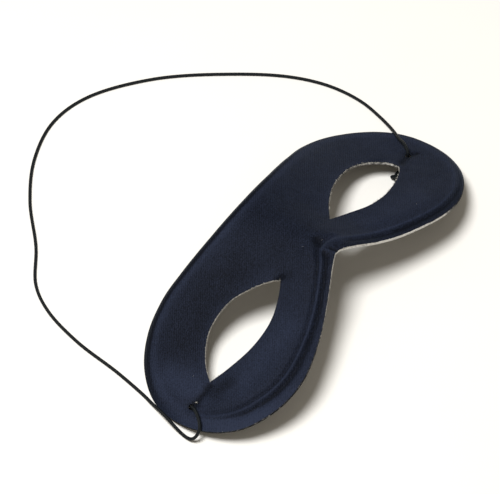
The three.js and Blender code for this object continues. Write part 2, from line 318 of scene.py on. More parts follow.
# The stage: camera, key light and floor
CAMERA_PLACE = (-492.25, -335.54, 879.76)
CAMERA_TARGET = (0.05, 28.45, 0)
CAMERA_LENS = 180
CAMERA_NEAR = 50
LIGHT_DIRECTION = (0.27, -0.12, -1)
LIGHT_DISTANCE = 1200
LIGHT_SIZE = 440
FLOOR_HALF = 2500


def mm(metres):
    """A property's length in millimetres."""
    return metres / MM


def gauss(x, width):
    return np.exp(-((x / width) ** 2))


def smoothstep(x, low, high):
    t = np.clip((x - low) / (high - low), 0, 1)
    return t * t * (3 - 2 * t)


# Curves

def catmull_rom(points, closed=False, fineness=40):
    """A dense centripetal Catmull-Rom curve through the points."""
    points = np.array(points, float)
    if closed:
        ring = np.vstack([points[-1], points, points[0], points[1]])
    else:
        ring = np.vstack([2 * points[0] - points[1], points, 2 * points[-1] - points[-2]])
    spans = []
    steps = np.linspace(0, 1, fineness, endpoint=False)[:, None]
    for p0, p1, p2, p3 in zip(ring, ring[1:], ring[2:], ring[3:]):
        d0, d1, d2 = (math.sqrt(np.linalg.norm(b - a)) for a, b in ((p0, p1), (p1, p2), (p2, p3)))
        start = ((p1 - p0) / d0 - (p2 - p0) / (d0 + d1) + (p2 - p1) / d1) * d1
        end = ((p2 - p1) / d1 - (p3 - p1) / (d1 + d2) + (p3 - p2) / d2) * d1
        cubic = 2 * p1 - 2 * p2 + start + end
        square = -3 * p1 + 3 * p2 - 2 * start - end
        spans.append(p1 + start * steps + square * steps**2 + cubic * steps**3)
    last = ring[-2] if not closed else points[0]
    return np.vstack([*spans, last])


def lengths(line):
    """Distance along a line to each of its points."""
    return np.concatenate([[0], np.cumsum(np.linalg.norm(np.diff(line, axis=0), axis=1))])


def at_shares(line, shares):
    """Points of a line at the given shares of its length."""
    along = lengths(line)
    wanted = np.asarray(shares) * along[-1]
    return np.stack([np.interp(wanted, along, line[:, axis]) for axis in range(line.shape[1])], axis=1)


# The pressed form

def face_height(x, y):
    """Height of the body's face over the table."""
    across = np.abs(x) / HALF_WIDTH
    up = y / HALF_HEIGHT
    arch = (1 - np.cos(ARCH_SWEEP * across)) / (1 - math.cos(ARCH_SWEEP))
    flare = smoothstep(across, 0, FLARE_REACH)
    nose = NOSE_RISE * gauss(x, NOSE_WIDTH) * (1 - up)
    return BRIDGE_HEIGHT - ARCH_FALL * arch - CHEEK_FLARE * flare * up + DISH * up * up + nose


def face_normals(points):
    x, y = points[..., 0], points[..., 1]
    step = 0.01
    slope_x = (face_height(x + step, y) - face_height(x - step, y)) / (2 * step)
    slope_y = (face_height(x, y + step) - face_height(x, y - step)) / (2 * step)
    normals = np.stack([-slope_x, -slope_y, np.ones_like(x)], axis=-1)
    return normals / np.linalg.norm(normals, axis=-1, keepdims=True)


def line_distance(x, y, start, end):
    """Distance in plan from a straight line."""
    (x0, y0), (x1, y1) = start, end
    dx, dy = x1 - x0, y1 - y0
    t = np.clip(((x - x0) * dx + (y - y0) * dy) / (dx * dx + dy * dy), 0, 1)
    return np.hypot(x - x0 - t * dx, y - y0 - t * dy)


def crease_marks(points):
    """Heights of the creases with their painted shade and highlights, and the tones of the painted light
    and shade patches.
    """
    x, y = points[:, 0], points[:, 1]
    height, tone = np.zeros_like(x), np.zeros_like(x)
    # Painted shade in the creases' dents and a painted highlight on their ridges
    for start, end, half_width, rise, change in CREASES:
        mark = gauss(line_distance(x, y, start, end), half_width)
        height += rise * mark
        tone += change * mark
    # Broad patches of painted light and painted shade
    for start, end, half_width, change in PAINTED_LIGHT_PATCHES:
        tone += change * gauss(line_distance(x, y, start, end), half_width)
    return height, tone


def face_marks(points):
    """Heights of what shows on the face alone, the dimples of the cord holes and ripples, and the painted
    shade in the dimples.
    """
    x, y = points[:, 0], points[:, 1]
    ripples = [noise.fractal(Vector((*place, RIPPLE_SLICE)) / RIPPLE_LENGTH, *RIPPLE_FRACTAL)
               for place in zip(x, y)]
    height = RIPPLE * np.array(ripples)
    tone = np.zeros_like(x)
    # Painted shade in the dimples round the cord holes
    for hole_x, hole_y in CORD_HOLES:
        dimple = gauss(np.hypot(x - hole_x, y - hole_y), HOLE_DIMPLE_REACH)
        height -= HOLE_DIMPLE * dimple
        tone -= HOLE_PAINTED_SHADE * dimple
    return height, tone


def half_edge():
    """Points, inward directions and shares along half of the cut edge, closer together at the notch."""
    mirrored = [(-x, y) for x, y in HALF_OUTLINE[-2:0:-1]]
    curve = catmull_rom(HALF_OUTLINE + mirrored, closed=True)
    shares = 0.5 * np.linspace(0, 1, OUTLINE_STEPS + 1) ** NOTCH_CROWDING
    step = 1e-4
    points = at_shares(curve, shares)
    ahead = at_shares(curve, np.clip(shares + step, 0, 1)) - at_shares(curve, np.clip(shares - step, 0, 1))
    inward = np.stack([-ahead[:, 1], ahead[:, 0]], axis=1)
    inward /= np.linalg.norm(inward, axis=1, keepdims=True)
    points[[0, -1], 0] = 0
    inward[0] = (0, 1)
    inward[-1] = (0, -1)
    return points, inward, shares


def section_height(section, place):
    """Height of a rim section, as a smooth line through its points."""
    line = catmull_rom(section)
    return np.interp(place, line[:, 0], line[:, 1])


def band(place, tone):
    middle, reach, strength = tone
    return strength * gauss(place - middle, reach)


def rim_rings(side):
    """Rings of the rim of one half, as arrays of x, y, height and tone: painted light +, painted shade -.
    """
    points, inward, shares = half_edge()
    stations = np.array(RIM_STATIONS[side])
    crest, bead, groove, flange, reach = (
        np.interp(shares, stations[:, 0], column) for column in stations.T[1:])
    below = points[:, 1] < 0
    near_notch = gauss(points[:, 0], NOTCH_REACH) * below
    pit = PIT_DEPTH * gauss(points[:, 0], PIT_REACH) * below
    rings = []
    for place in np.linspace(0, BEADED_RIM[-1][0], RIM_STEPS + 1):
        distance = np.where(place < STEP_START, place * (crest - STEP) / STEP_START, crest + place - CREST)
        position = points + inward * (distance * (1 + NOTCH_WIDENING * near_notch))[:, None]
        beaded, rolled = (section_height(section, place) for section in (BEADED_RIM, ROLLED_RIM))
        height = rolled + (beaded - rolled) * bead
        height -= (GROOVE_DEPTH * groove + pit) * gauss(place - GROOVE, GROOVE_REACH)
        # Painted shade in the valley and groove, a painted highlight on the crest and a painted light band
        # on the rolled rim
        tone = bead**2 * band(place, VALLEY_PAINTED_SHADE) + bead * band(place, CREST_PAINTED_HIGHLIGHT)
        tone += (1 - bead) * band(place, ROLL_PAINTED_LIGHT) + groove * band(place, GROOVE_PAINTED_SHADE)
        # Painted light or painted shade on the flange, fading out at its reach
        tone += flange * (1 - smoothstep(distance - reach, -FLANGE_FADE, FLANGE_FADE))
        rings.append(np.column_stack([position, height, tone]))
    return rings


def eye_lids(side):
    """Lower and upper edge of one half's eye hole, each from its inner to its outer corner."""
    eye = EYES[side]
    inner, outer = eye["corners"]
    return [catmull_rom([inner, *eye[lid], outer]) for lid in ("lower", "upper")]


def eye_loop(loop, side):
    """One point of the eye's edge for each point of the loop round it, in step with its length."""
    lower, upper = (lid * (side, 1) for lid in eye_lids(side))
    count = len(loop)
    inner = OUTLINE_STEPS + CORNER_STEP
    outer = int(np.argmax(side * loop[:, 0]))
    eye = np.zeros_like(loop)
    for start, end, curve in ((inner, outer, lower), (outer, inner, upper[::-1])):
        order = [(start + i) % count for i in range((end - start) % count + 1)]
        along = lengths(loop[order, :2])
        eye[order[:-1], :2] = at_shares(curve, along[:-1] / along[-1])
    return eye


class SheetMesh:
    """Collects the points and faces of the sheet, with the cloth's tone, its painted light and shade, and
    the share of bare core.
    """

    CLOTH, CORE, BACKING = range(3)

    def __init__(self):
        self.points = []
        self.tones = []
        self.bareness = []
        self.faces = []
        self.kinds = []
        self.count = 0

    def add(self, line, tone, bare):
        """Adds a line of points and returns their numbers."""
        first = self.count
        self.points.append(line)
        self.tones.append(np.broadcast_to(tone, len(line)))
        self.bareness.append(np.broadcast_to(bare, len(line)))
        self.count += len(line)
        return np.arange(first, self.count)

    def strip(self, outer, inner, kind, closed, flipped):
        """Joins two lines of point numbers with quads."""
        (a, b), (d, c) = ((line, np.roll(line, -1)) for line in (outer, inner))
        quads = np.column_stack([a, d, c, b] if flipped else [a, b, c, d])
        if not closed:
            quads = quads[:-1]
        self.faces.extend(quads.tolist())
        self.kinds.extend([kind] * len(quads))


def grid_rings(side):
    """All rings of one half as (points, closed): first the rim's, then the body's."""
    rim = [ring * (side, 1, 1, 1) + (*CUT_SHIFT, 0, 0) for ring in rim_rings(side)]
    last = rim[-1]
    bridge = np.linspace(last[-1], last[0], BRIDGE_STEPS + 1)[1:-1]
    loop = np.vstack([last, bridge])
    eye = eye_loop(loop, side)
    body = [loop]
    for share in np.linspace(0, 1, BODY_STEPS + 1)[1:]:
        ring = loop + (eye - loop) * share
        ring[:, 2] = -LID_ROLL * share
        # The cloth is made lighter towards the upper eye rims, and the rim's painted light and shade fade
        # out
        lightened = EYE_RIM_LIGHTENING * smoothstep(share, EYE_RIM_LIGHTENING_START, 1) * (eye[:, 1] > 0)
        ring[:, 3] = loop[:, 3] * max(0, 1 - RIM_TONE_FADE * share) + lightened
        body.append(ring)
    return rim, body


def placed(ring):
    """A ring's points on the face."""
    return np.column_stack([ring[:, :2], face_height(ring[:, 0], ring[:, 1]) + ring[:, 2]])


def add_half(sheet, side):
    """One half of the closed sheet, side +1 or -1."""
    rim, body = grid_rings(side)

    def layers(ring, bare, lip):
        """Point numbers of a ring on the face and on the back."""
        front = placed(ring)
        crease, crease_tone = crease_marks(front)
        front[:, 2] += crease
        back = front - SHEET * face_normals(front)
        marks, marks_tone = face_marks(front)
        front[:, 2] += marks
        return sheet.add(front, ring[:, 3] + crease_tone + marks_tone, lip), sheet.add(back, 0, bare)

    outward = side > 0
    for rings, closed in ((rim, False), (body, True)):
        bare = BARE_EYES[side] if closed else edge_bareness(rim[0])
        last = len(rings) - 1 if closed else 0
        faces_backs = [layers(ring, bare, lip_bareness(rings[last], side, closed) if i == last else 0)
                       for i, ring in enumerate(rings)]
        for (face_out, back_out), (face_in, back_in) in zip(faces_backs, faces_backs[1:]):
            sheet.strip(face_out, face_in, sheet.CLOTH, closed, not outward)
            sheet.strip(back_out, back_in, sheet.BACKING, closed, outward)
        edge = faces_backs[-1] if closed else faces_backs[0]
        flipped = outward if closed else not outward
        add_wall(sheet, edge, bare, closed, flipped)


def lip_bareness(ring, side, is_eye):
    """Share of bare core on the face's last points before an edge."""
    if is_eye:
        inner, outer = EYES[side]["corners"]
        across = (side * ring[:, 0] - inner[0]) / (outer[0] - inner[0])
        upper = ring[:, 1] > np.interp(across, (0, 1), (inner[1], outer[1]))
        edges = {"upper": upper, "lower": ~upper}
    else:
        across = half_edge()[2]
        edges = {"rim": np.full(len(ring), True)}
    bare = np.zeros(len(ring))
    for half, edge, start, end, share in BARE_LIPS:
        if half == side and edge in edges:
            bare = np.maximum(bare, share * (edges[edge] & (across >= start) & (across <= end)))
    return bare


def edge_bareness(edge):
    """Share of bare core along the outer cut edge."""
    places, shares = zip(*BARE_EDGE)
    return np.where(edge[:, 1] < 0, np.interp(edge[:, 0], places, shares), BARE_BROW)


def add_wall(sheet, edge, bare, closed, flipped):
    """The cut edge between face and back, a little rough like the core's fibres."""
    face, back = edge
    every = np.vstack(sheet.points)
    upper, lower = every[face], every[back]
    previous = back
    for step in range(WALL_STEPS - 1, 0, -1):
        share = step / WALL_STEPS
        line = upper + (lower - upper) * share
        rough = [noise.noise_vector(Vector(point) * WALL_GRAINS_PER_MM) for point in line]
        line += WALL_ROUGHNESS * np.array(rough)
        numbers = sheet.add(line, 0, bare)
        sheet.strip(previous, numbers, sheet.CORE, closed, flipped)
        previous = numbers
    sheet.strip(previous, face, sheet.CORE, closed, flipped)


# Making objects

def link(name, mesh, materials):
    obj = bpy.data.objects.new(name, mesh)
    bpy.context.scene.collection.objects.link(obj)
    for material in materials:
        mesh.materials.append(material)
    return obj


def mesh_from(name, points, faces):
    """A mesh in metres from points in the frame, in millimetres."""
    mesh = bpy.data.meshes.new(name)
    mesh.from_pydata((np.asarray(points) * MM).tolist(), [], faces)
    mesh.update()
    mesh.validate()
    return mesh


def weld(mesh):
    work = bmesh.new()
    work.from_mesh(mesh)
    bmesh.ops.remove_doubles(work, verts=work.verts, dist=WELD * MM)
    work.to_mesh(mesh)
    work.free()


def tube_mesh(line, radii, sides, bumps=None):
    """Points, faces and texture places, round and along in mm, of a tube round a line with closed ends."""
    line = np.asarray(line, float)
    tangents = np.gradient(line, axis=0)
    tangents /= np.linalg.norm(tangents, axis=1, keepdims=True)
    radii = np.broadcast_to(radii, len(line))
    along = lengths(line)
    side = Vector(tangents[0]).orthogonal().normalized()
    points, places = [], []
    for i, (centre, tangent, radius) in enumerate(zip(line, tangents, radii)):
        side = (side - Vector(tangent) * side.dot(Vector(tangent))).normalized()
        other = Vector(tangent).cross(side)
        for k in range(sides):
            angle = 2 * math.pi * k / sides
            swell = radius * (1 + (bumps(angle, along[i]) if bumps else 0))
            points.append(centre + swell * np.array(side * math.cos(angle) + other * math.sin(angle)))
            places.append((k / sides, along[i]))
    faces = []
    for i in range(len(line) - 1):
        for k in range(sides):
            a, b = i * sides + k, i * sides + (k + 1) % sides
            faces.append((a, b, b + sides, a + sides))
    faces.append(tuple(reversed(range(sides))))
    faces.append(tuple(range((len(line) - 1) * sides, len(line) * sides)))
    return points, faces, places


def tube_object(name, line, radii, sides, material, bumps=None):
    points, faces, places = tube_mesh(line, radii, sides, bumps)
    mesh = mesh_from(name, points, faces)
    uv = mesh.uv_layers.new(name="UVMap").data
    for polygon in mesh.polygons:
        corners = [mesh.loops[i].vertex_index for i in polygon.loop_indices]
        round_places = [places[v][0] for v in corners]
        wraps = len(corners) == 4 and max(round_places) - min(round_places) > 0.5
        for loop, vertex in zip(polygon.loop_indices, corners):
            u, v = places[vertex]
            uv[loop].uv = (u + 1 if wraps and u == 0 else u, v)
    mesh.shade_smooth()
    mesh.set_sharp_from_angle(angle=math.radians(TUBE_EDGE_ANGLE))
    return link(name, mesh, [material])


# Materials

def linear(code):
    """An sRGB hex colour as linear RGBA."""
    parts = [int(code[i:i + 2], 16) / 255 for i in (1, 3, 5)]
    return (*[p / 12.92 if p <= 0.04045 else ((p + 0.055) / 1.055) ** 2.4 for p in parts], 1)


def shade(colour, factor):
    """A linear colour made lighter or darker."""
    return (*[min(1, factor * part) for part in colour[:3]], 1)


def wave_scale(spacing):
    """The scale of a Wave node for a spacing in metres: its bands repeat pi / (10 scale) apart."""
    return math.pi / 10 / spacing


class Nodes:
    """The node tree of a new material."""

    def __init__(self, name):
        self.material = bpy.data.materials.new(name)
        self.material.use_nodes = True
        self.tree = self.material.node_tree
        self.shader = self.tree.nodes["Principled BSDF"]

    def add(self, kind, settings=None, **inputs):
        """A node with its settings, and each input set to a value or linked to a socket."""
        node = self.tree.nodes.new(kind)
        for key, value in (settings or {}).items():
            setattr(node, key, value)
        for key, value in inputs.items():
            self.set(node, int(key[1:]) if key[1:].isdigit() else key.replace("_", " "), value)
        return node

    def set(self, node, key, value):
        if isinstance(value, bpy.types.NodeSocket):
            self.tree.links.new(value, node.inputs[key])
        else:
            node.inputs[key].default_value = value


class MaskSheetProperties(bpy.types.PropertyGroup):
    rib_spacing: bpy.props.FloatProperty(
        name="Rib spacing", unit="LENGTH", default=0.9 * MM,
        description="Distance between the diagonal ribs of the twill",
    )
    # The deep colour also shows the painted shade, and the light colour the painted light, of the sheet's
    # tone
    cloth_deep: bpy.props.FloatVectorProperty(
        name="Cloth, deep", subtype="COLOR", size=4, default=linear("#090C14"), min=0, max=1,
        description="Colour of the navy cloth between its threads",
    )
    cloth_light: bpy.props.FloatVectorProperty(
        name="Cloth, light", subtype="COLOR", size=4, default=linear("#252B3C"), min=0, max=1,
        description="Colour of the navy cloth where it is rubbed",
    )
    core: bpy.props.FloatVectorProperty(
        name="Core", subtype="COLOR", size=4, default=linear("#ECE9E2"), min=0, max=1,
        description="Colour of the stiff core where the sheet is cut",
    )
    backing: bpy.props.FloatVectorProperty(
        name="Backing", subtype="COLOR", size=4, default=linear("#4A463F"), min=0, max=1,
        description="Colour of the stiffened back",
    )


class MaskCordProperties(bpy.types.PropertyGroup):
    ring_spacing: bpy.props.FloatProperty(
        name="Ring spacing", unit="LENGTH", default=0.5 * MM,
        description="Distance between the rings of points along the cord",
    )
    strand_pitch: bpy.props.FloatProperty(
        name="Strand pitch", unit="LENGTH", default=3.2 * MM,
        description="Length in which a strand of the braid goes once round the cord",
    )
    colour: bpy.props.FloatVectorProperty(
        name="Braid", subtype="COLOR", size=4, default=linear("#0E1215"), min=0, max=1,
        description="Colour of the elastic's braided cover",
    )


class MaskFibreProperties(bpy.types.PropertyGroup):
    density: bpy.props.FloatProperty(
        name="Fraying", default=1, min=0,
        description="Number of fibres at the cut edges against the usual",
    )
    radius: bpy.props.FloatProperty(
        name="Fibre radius", unit="LENGTH", default=FIBRE_RADIUS * MM,
        description="Thickest part of a fibre",
    )
    colour: bpy.props.FloatVectorProperty(
        name="Fibres", subtype="COLOR", size=4, default=linear("#DAD6CC"), min=0, max=1,
        description="Colour of the loose core fibres",
    )
    seed: bpy.props.IntProperty(
        name="Seed", default=11, description="Start of the fibres' random places",
    )


class MaskStageProperties(bpy.types.PropertyGroup):
    key_power: bpy.props.FloatProperty(
        name="Key light", subtype="POWER", default=17, min=0, description="Power of the soft key light",
    )
    fill_strength: bpy.props.FloatProperty(
        name="Fill light", default=0.3, min=0, description="Brightness of the surroundings",
    )
    floor: bpy.props.FloatVectorProperty(
        name="Floor", subtype="COLOR", size=4, default=linear("#F0EEE9"), min=0, max=1,
        description="Colour of the plain floor",
    )


def pressed_navy_cloth(props):
    """Cotton twill, glued and heat-pressed: matt, with a faint blue sheen, diagonal ribs and fuzz, and
    painted light and shade.
    """
    nodes = Nodes("heat-pressed navy cotton twill")
    place = nodes.add("ShaderNodeTexCoord").outputs["Object"]
    # The ribs of a twill of 0.35 mm threads stand about 0.9 mm apart and run askew over the mask.
    turned = nodes.add("ShaderNodeMapping", Vector=place, Rotation=(0, 0, math.radians(TWILL_ANGLE)))
    weave = nodes.add("ShaderNodeTexWave", {"bands_direction": "Y"}, Vector=turned.outputs[0],
                      Scale=wave_scale(props.rib_spacing), Distortion=2.2, Detail=2.0,
                      Detail_Scale=1.5).outputs["Fac"]
    # The cloth is mottled over centimetres, and its painted light and shade is broken into dots that are
    # coarser than its fuzz.
    fuzz, mottle, dotted = (
        nodes.add("ShaderNodeTexNoise", Vector=place, Scale=grains / MM, Detail=detail).outputs["Fac"]
        for grains, detail in ((FUZZ_PER_MM, 1.0), (MOTTLE_PER_MM, 6.0), (TONE_DOTS_PER_MM, 2.0))
    )
    # The sheet's tone: painted light and shade of the rim, creases, dimples and broad patches
    pressed = nodes.add("ShaderNodeAttribute", {"attribute_name": "tone"}).outputs["Fac"]
    pressed = nodes.add("ShaderNodeMath", {"operation": "MULTIPLY"}, _0=pressed, _1=dotted).outputs[0]
    tone = None
    for source, weight in ((weave, WEAVE_TONE), (fuzz, FUZZ_TONE), (mottle, MOTTLE_TONE),
                           (pressed, PAINTED_LIGHT_TONE)):
        added = nodes.add("ShaderNodeMath", {"operation": "MULTIPLY_ADD"}, _0=source, _1=weight, _2=0.0)
        if tone:
            nodes.set(added, 2, tone)
        tone = added.outputs[0]
    share = nodes.add("ShaderNodeMapRange", Value=tone, _1=CLOTH_TONES[0], _2=CLOTH_TONES[1])
    cloth = nodes.add("ShaderNodeMix", {"data_type": "RGBA"}, _0=share.outputs[0],
                      _6=props.cloth_deep[:], _7=props.cloth_light[:])
    # Along the frayed edges the undyed core shows through in dots.
    bare = nodes.add("ShaderNodeAttribute", {"attribute_name": "bare"}).outputs["Fac"]
    dots = nodes.add("ShaderNodeMath", {"operation": "ADD"}, _0=bare, _1=fuzz)
    dots = nodes.add("ShaderNodeMapRange", Value=dots.outputs[0], _1=FACE_DOTS[0], _2=FACE_DOTS[1])
    colour = nodes.add("ShaderNodeMix", {"data_type": "RGBA"}, _0=dots.outputs[0],
                       _6=cloth.outputs[2], _7=props.core[:])
    height = nodes.add("ShaderNodeMath", {"operation": "ADD"}, _0=weave, _1=fuzz)
    bump = nodes.add("ShaderNodeBump", Strength=0.5, Distance=0.12 * MM, Height=height.outputs[0])
    nodes.set(nodes.shader, "Base Color", colour.outputs[2])
    nodes.set(nodes.shader, "Roughness", 0.62)
    nodes.set(nodes.shader, "Normal", bump.outputs[0])
    nodes.set(nodes.shader, "Specular IOR Level", 0.05)
    nodes.set(nodes.shader, "Sheen Weight", 0.095)
    nodes.set(nodes.shader, "Sheen Roughness", 0.45)
    nodes.set(nodes.shader, "Sheen Tint", linear("#D1E5FF"))
    return nodes.material


def cut_core(props):
    """Die-cut edge of the pressed felt core: pale, dull and fibrous."""
    nodes = Nodes("die-cut felt core")
    place = nodes.add("ShaderNodeTexCoord").outputs["Object"]
    fibres = nodes.add("ShaderNodeTexNoise", Vector=place, Scale=FELT_FIBRES_PER_MM / MM, Detail=4.0,
                       Roughness=0.7)
    bare = nodes.add("ShaderNodeAttribute", {"attribute_name": "bare"}).outputs["Fac"]
    felt = nodes.add("ShaderNodeMix", {"data_type": "RGBA"}, _0=fibres.outputs["Fac"],
                     _6=shade(props.core, 0.5), _7=props.core[:])
    shows = nodes.add("ShaderNodeMath", {"operation": "ADD"}, _0=bare, _1=fibres.outputs["Fac"])
    shows = nodes.add("ShaderNodeMapRange", Value=shows.outputs[0], _1=CUT_DOTS[0], _2=CUT_DOTS[1])
    colour = nodes.add("ShaderNodeMix", {"data_type": "RGBA"}, _0=shows.outputs[0],
                       _6=props.cloth_deep[:], _7=felt.outputs[2])
    bump = nodes.add("ShaderNodeBump", Strength=0.8, Distance=0.1 * MM, Height=fibres.outputs["Fac"])
    nodes.set(nodes.shader, "Base Color", colour.outputs[2])
    nodes.set(nodes.shader, "Roughness", 0.9)
    nodes.set(nodes.shader, "Normal", bump.outputs[0])
    nodes.set(nodes.shader, "Specular IOR Level", 0.2)
    return nodes.material


def stiffened_backing(props):
    """Starched buckram, pressed flat: an open weave, dull and darkened by its size."""
    nodes = Nodes("starched buckram backing")
    place = nodes.add("ShaderNodeTexCoord").outputs["Object"]
    threads = [
        nodes.add("ShaderNodeTexWave", {"bands_direction": direction}, Vector=place,
                  Scale=wave_scale(BACKING_THREAD * MM), Distortion=1.2, Detail=1.0).outputs["Fac"]
        for direction in ("X", "Y")
    ]
    weave = nodes.add("ShaderNodeMath", {"operation": "MAXIMUM"}, _0=threads[0], _1=threads[1])
    stains = nodes.add("ShaderNodeTexNoise", Vector=place, Scale=STAINS_PER_MM / MM, Detail=5.0)
    tone = nodes.add("ShaderNodeMath", {"operation": "MULTIPLY_ADD"},
                     _0=weave.outputs[0], _1=BACKING_WEAVE_TONE, _2=stains.outputs["Fac"])
    colour = nodes.add("ShaderNodeMix", {"data_type": "RGBA"}, _0=tone.outputs[0],
                       _6=shade(props.backing, 0.45), _7=props.backing[:])
    bump = nodes.add("ShaderNodeBump", Strength=0.6, Distance=0.15 * MM, Height=weave.outputs[0])
    nodes.set(nodes.shader, "Base Color", colour.outputs[2])
    nodes.set(nodes.shader, "Roughness", 0.85)
    nodes.set(nodes.shader, "Normal", bump.outputs[0])
    return nodes.material


def braided_elastic(props):
    """Rubber core in a braided polyester cover: charcoal, with a soft gloss on the strands."""
    nodes = Nodes("braided elastic cord")
    place = nodes.add("ShaderNodeTexCoord").outputs["UV"]
    split = nodes.add("ShaderNodeSeparateXYZ", _0=place)
    turns = nodes.add("ShaderNodeMath", {"operation": "DIVIDE"},
                      _0=split.outputs["Y"], _1=mm(props.strand_pitch))
    strands = []
    for sign in (1, -1):
        phase = nodes.add("ShaderNodeMath", {"operation": "MULTIPLY_ADD"},
                          _0=turns.outputs[0], _1=float(sign), _2=split.outputs["X"])
        wave = nodes.add("ShaderNodeMath", {"operation": "MULTIPLY"}, _0=phase.outputs[0],
                         _1=2 * math.pi * BRAID_LINES)
        strands.append(nodes.add("ShaderNodeMath", {"operation": "SINE"}, _0=wave.outputs[0]).outputs[0])
    braid = nodes.add("ShaderNodeMath", {"operation": "MULTIPLY_ADD"}, _0=strands[0], _1=strands[1], _2=0.5)
    colour = nodes.add("ShaderNodeMix", {"data_type": "RGBA"}, _0=braid.outputs[0],
                       _6=shade(props.colour, 0.4), _7=shade(props.colour, 1.7))
    bump = nodes.add("ShaderNodeBump", Strength=0.5, Distance=0.06 * MM, Height=braid.outputs[0])
    nodes.set(nodes.shader, "Base Color", colour.outputs[2])
    nodes.set(nodes.shader, "Roughness", 0.5)
    nodes.set(nodes.shader, "Normal", bump.outputs[0])
    nodes.set(nodes.shader, "Specular IOR Level", 0.15)
    return nodes.material


def loose_fibres(props):
    """Undyed cotton fibres pulled out of the core: pale, dull and a little uneven."""
    nodes = Nodes("loose undyed cotton")
    place = nodes.add("ShaderNodeTexCoord").outputs["Object"]
    dust = nodes.add("ShaderNodeTexNoise", Vector=place, Scale=DUST_PER_MM / MM, Detail=2.0)
    colour = nodes.add("ShaderNodeMix", {"data_type": "RGBA"}, _0=dust.outputs["Fac"],
                       _6=shade(props.colour, 0.45), _7=props.colour[:])
    nodes.set(nodes.shader, "Base Color", colour.outputs[2])
    nodes.set(nodes.shader, "Roughness", 0.9)
    nodes.set(nodes.shader, "Specular IOR Level", 0.2)
    return nodes.material


def painted_floor(props):
    """Plain pale floor with a very faint unevenness."""
    nodes = Nodes("plain pale floor")
    place = nodes.add("ShaderNodeTexCoord").outputs["Object"]
    cloud = nodes.add("ShaderNodeTexNoise", Vector=place, Scale=FLOOR_CLOUDS_PER_M, Detail=3.0)
    colour = nodes.add("ShaderNodeMix", {"data_type": "RGBA"}, _0=cloud.outputs["Fac"],
                       _6=shade(props.floor, 0.94), _7=props.floor[:])
    nodes.set(nodes.shader, "Base Color", colour.outputs[2])
    nodes.set(nodes.shader, "Roughness", 0.8)
    nodes.set(nodes.shader, "Specular IOR Level", 0.1)
    return nodes.material


# Stage

class MASK_OT_stage(bpy.types.Operator):
    """Adds the camera, the lights and the floor"""

    bl_idname = "mask.stage"
    bl_label = "Stage"

    def execute(self, context):
        props = context.scene.mask_stage
        scene = context.scene
        scene.view_settings.view_transform = "Standard"
        camera = bpy.data.objects.new("camera", bpy.data.cameras.new("camera"))
        camera.data.lens = CAMERA_LENS
        camera.data.clip_start = CAMERA_NEAR * MM
        self.aim(camera, Vector(CAMERA_PLACE) * MM, Vector(CAMERA_TARGET) * MM)
        scene.collection.objects.link(camera)
        scene.camera = camera

        key = bpy.data.objects.new("key_light", bpy.data.lights.new("key_light", "AREA"))
        key.data.energy = props.key_power
        key.data.shape = "DISK"
        key.data.size = LIGHT_SIZE * MM
        middle = (MASK_BOX[0] + MASK_BOX[1]) / 2
        way = Vector(LIGHT_DIRECTION).normalized()
        self.aim(key, middle - way * LIGHT_DISTANCE * MM, middle)
        scene.collection.objects.link(key)

        world = bpy.data.worlds.new("surroundings")
        world.use_nodes = True
        background = world.node_tree.nodes["Background"]
        background.inputs["Color"].default_value = linear("#F0E8DA")
        background.inputs["Strength"].default_value = props.fill_strength
        scene.world = world

        corners = [(x, y, 0) for x, y in ((-1, -1), (1, -1), (1, 1), (-1, 1))]
        floor_mesh = mesh_from("floor", np.array(corners) * FLOOR_HALF, [(0, 1, 2, 3)])
        link("floor", floor_mesh, [painted_floor(props)])
        return {"FINISHED"}

    @staticmethod
    def aim(obj, place, target):
        obj.location = place
        obj.rotation_euler = (target - place).to_track_quat("-Z", "Y").to_euler()


def braid_bumps(pitch):
    """Swelling of the cord's surface where the strands of the braid cross over each other."""
    def swell(angle, along):
        turn = 2 * math.pi * along / pitch
        crossing = math.cos(BRAID_STRANDS * (angle + turn)) * math.cos(BRAID_STRANDS * (angle - turn))
        return BRAID_SWELL * crossing
    return swell


class MASK_OT_cord(bpy.types.Operator):
    """Lays the elastic cord and ties its two knots"""

    bl_idname = "mask.cord"
    bl_label = "Cord and knots"

    def execute(self, context):
        props = context.scene.mask_cord
        elastic = braided_elastic(props)
        route = catmull_rom(CORD_ROUTE)
        route[:, 2] = np.maximum(route[:, 2], CORD_RADIUS)
        length = lengths(route)[-1]
        rings = round(length / mm(props.ring_spacing))
        line = at_shares(route, np.linspace(0, 1, rings + 1))
        bumps = braid_bumps(mm(props.strand_pitch))
        cord = tube_object("cord", line, CORD_RADIUS, CORD_SIDES, elastic, bumps)
        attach(cord, "root")
        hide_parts("elastic_cord")

        for name, knot in KNOTS.items():
            path = at_shares(self.knot_path(**knot), np.linspace(0, 1, KNOT_RINGS + 1))
            tied = tube_object(f"tied_{name}", path, KNOT_RADIUS, CORD_SIDES, elastic, bumps)
            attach(tied, "root")
            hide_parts(name)

        return {"FINISHED"}

    @staticmethod
    def knot_path(centre, out, side, lead, tail):
        """An overhand knot as an opened trefoil, with the lead to the hole and the cut end."""
        side, out = np.array(side, float), np.array(out, float)
        thick = np.cross(side, out)
        t = np.linspace(math.pi + KNOT_OPENING, 3 * math.pi - KNOT_OPENING, KNOT_POINTS)[:, None]
        loops = (np.array(centre)
                 + side * KNOT_SCALE * (np.sin(t) + 2 * np.sin(2 * t))
                 + out * KNOT_SCALE * (2 * np.cos(2 * t) - np.cos(t))
                 + thick * KNOT_DEPTH * np.sin(3 * t))
        return catmull_rom([*lead, *loops, *tail])


